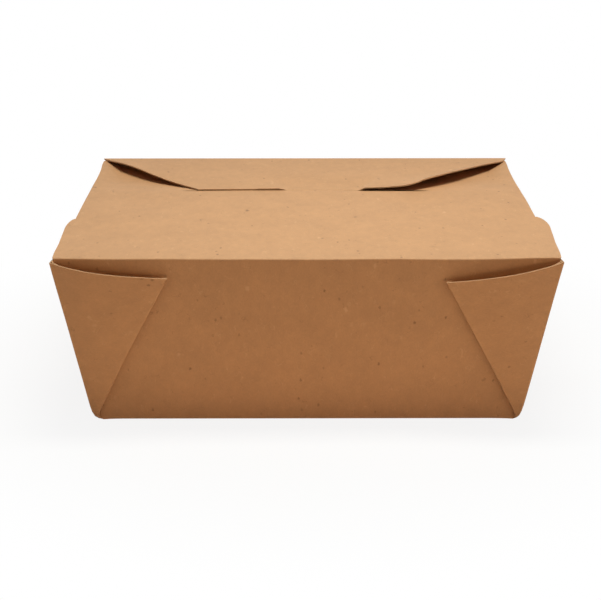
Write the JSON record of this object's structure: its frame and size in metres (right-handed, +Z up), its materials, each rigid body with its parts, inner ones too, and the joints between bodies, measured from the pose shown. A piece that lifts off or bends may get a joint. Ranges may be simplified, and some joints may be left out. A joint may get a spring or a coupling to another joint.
{
  "type": "takeaway box",
  "caption": "Folded kraft board food box with walls that lean out, folded corner webs and a lid of overlapping flaps that lock with a tongue in a slit.",
  "frame": {"origin": "middle of the underside of the base, on the surface that the box stands on", "axes": "+X along the long walls to the right as seen from the front, +Y from the front wall to the rear wall, +Z up"},
  "size_m": [0.176, 0.143, 0.0626],
  "materials": {
    "kraft_board": "plain brown kraft board, matt, with fine fibres and flecks"
  },
  "bodies": {
    "box": {"carton": "kraft_board"},
    "rear_lid_flap": {"rear_lid_flap": "kraft_board"}
  },
  "joints": [
    {"name": "rear_lid_flap_hinge", "type": "hinge", "parent": "box", "child": "rear_lid_flap", "pos_m": [0, 0.06954, 0.0623], "axis": [-1, 0, 0], "range_deg": [0, 200]}
  ]
}
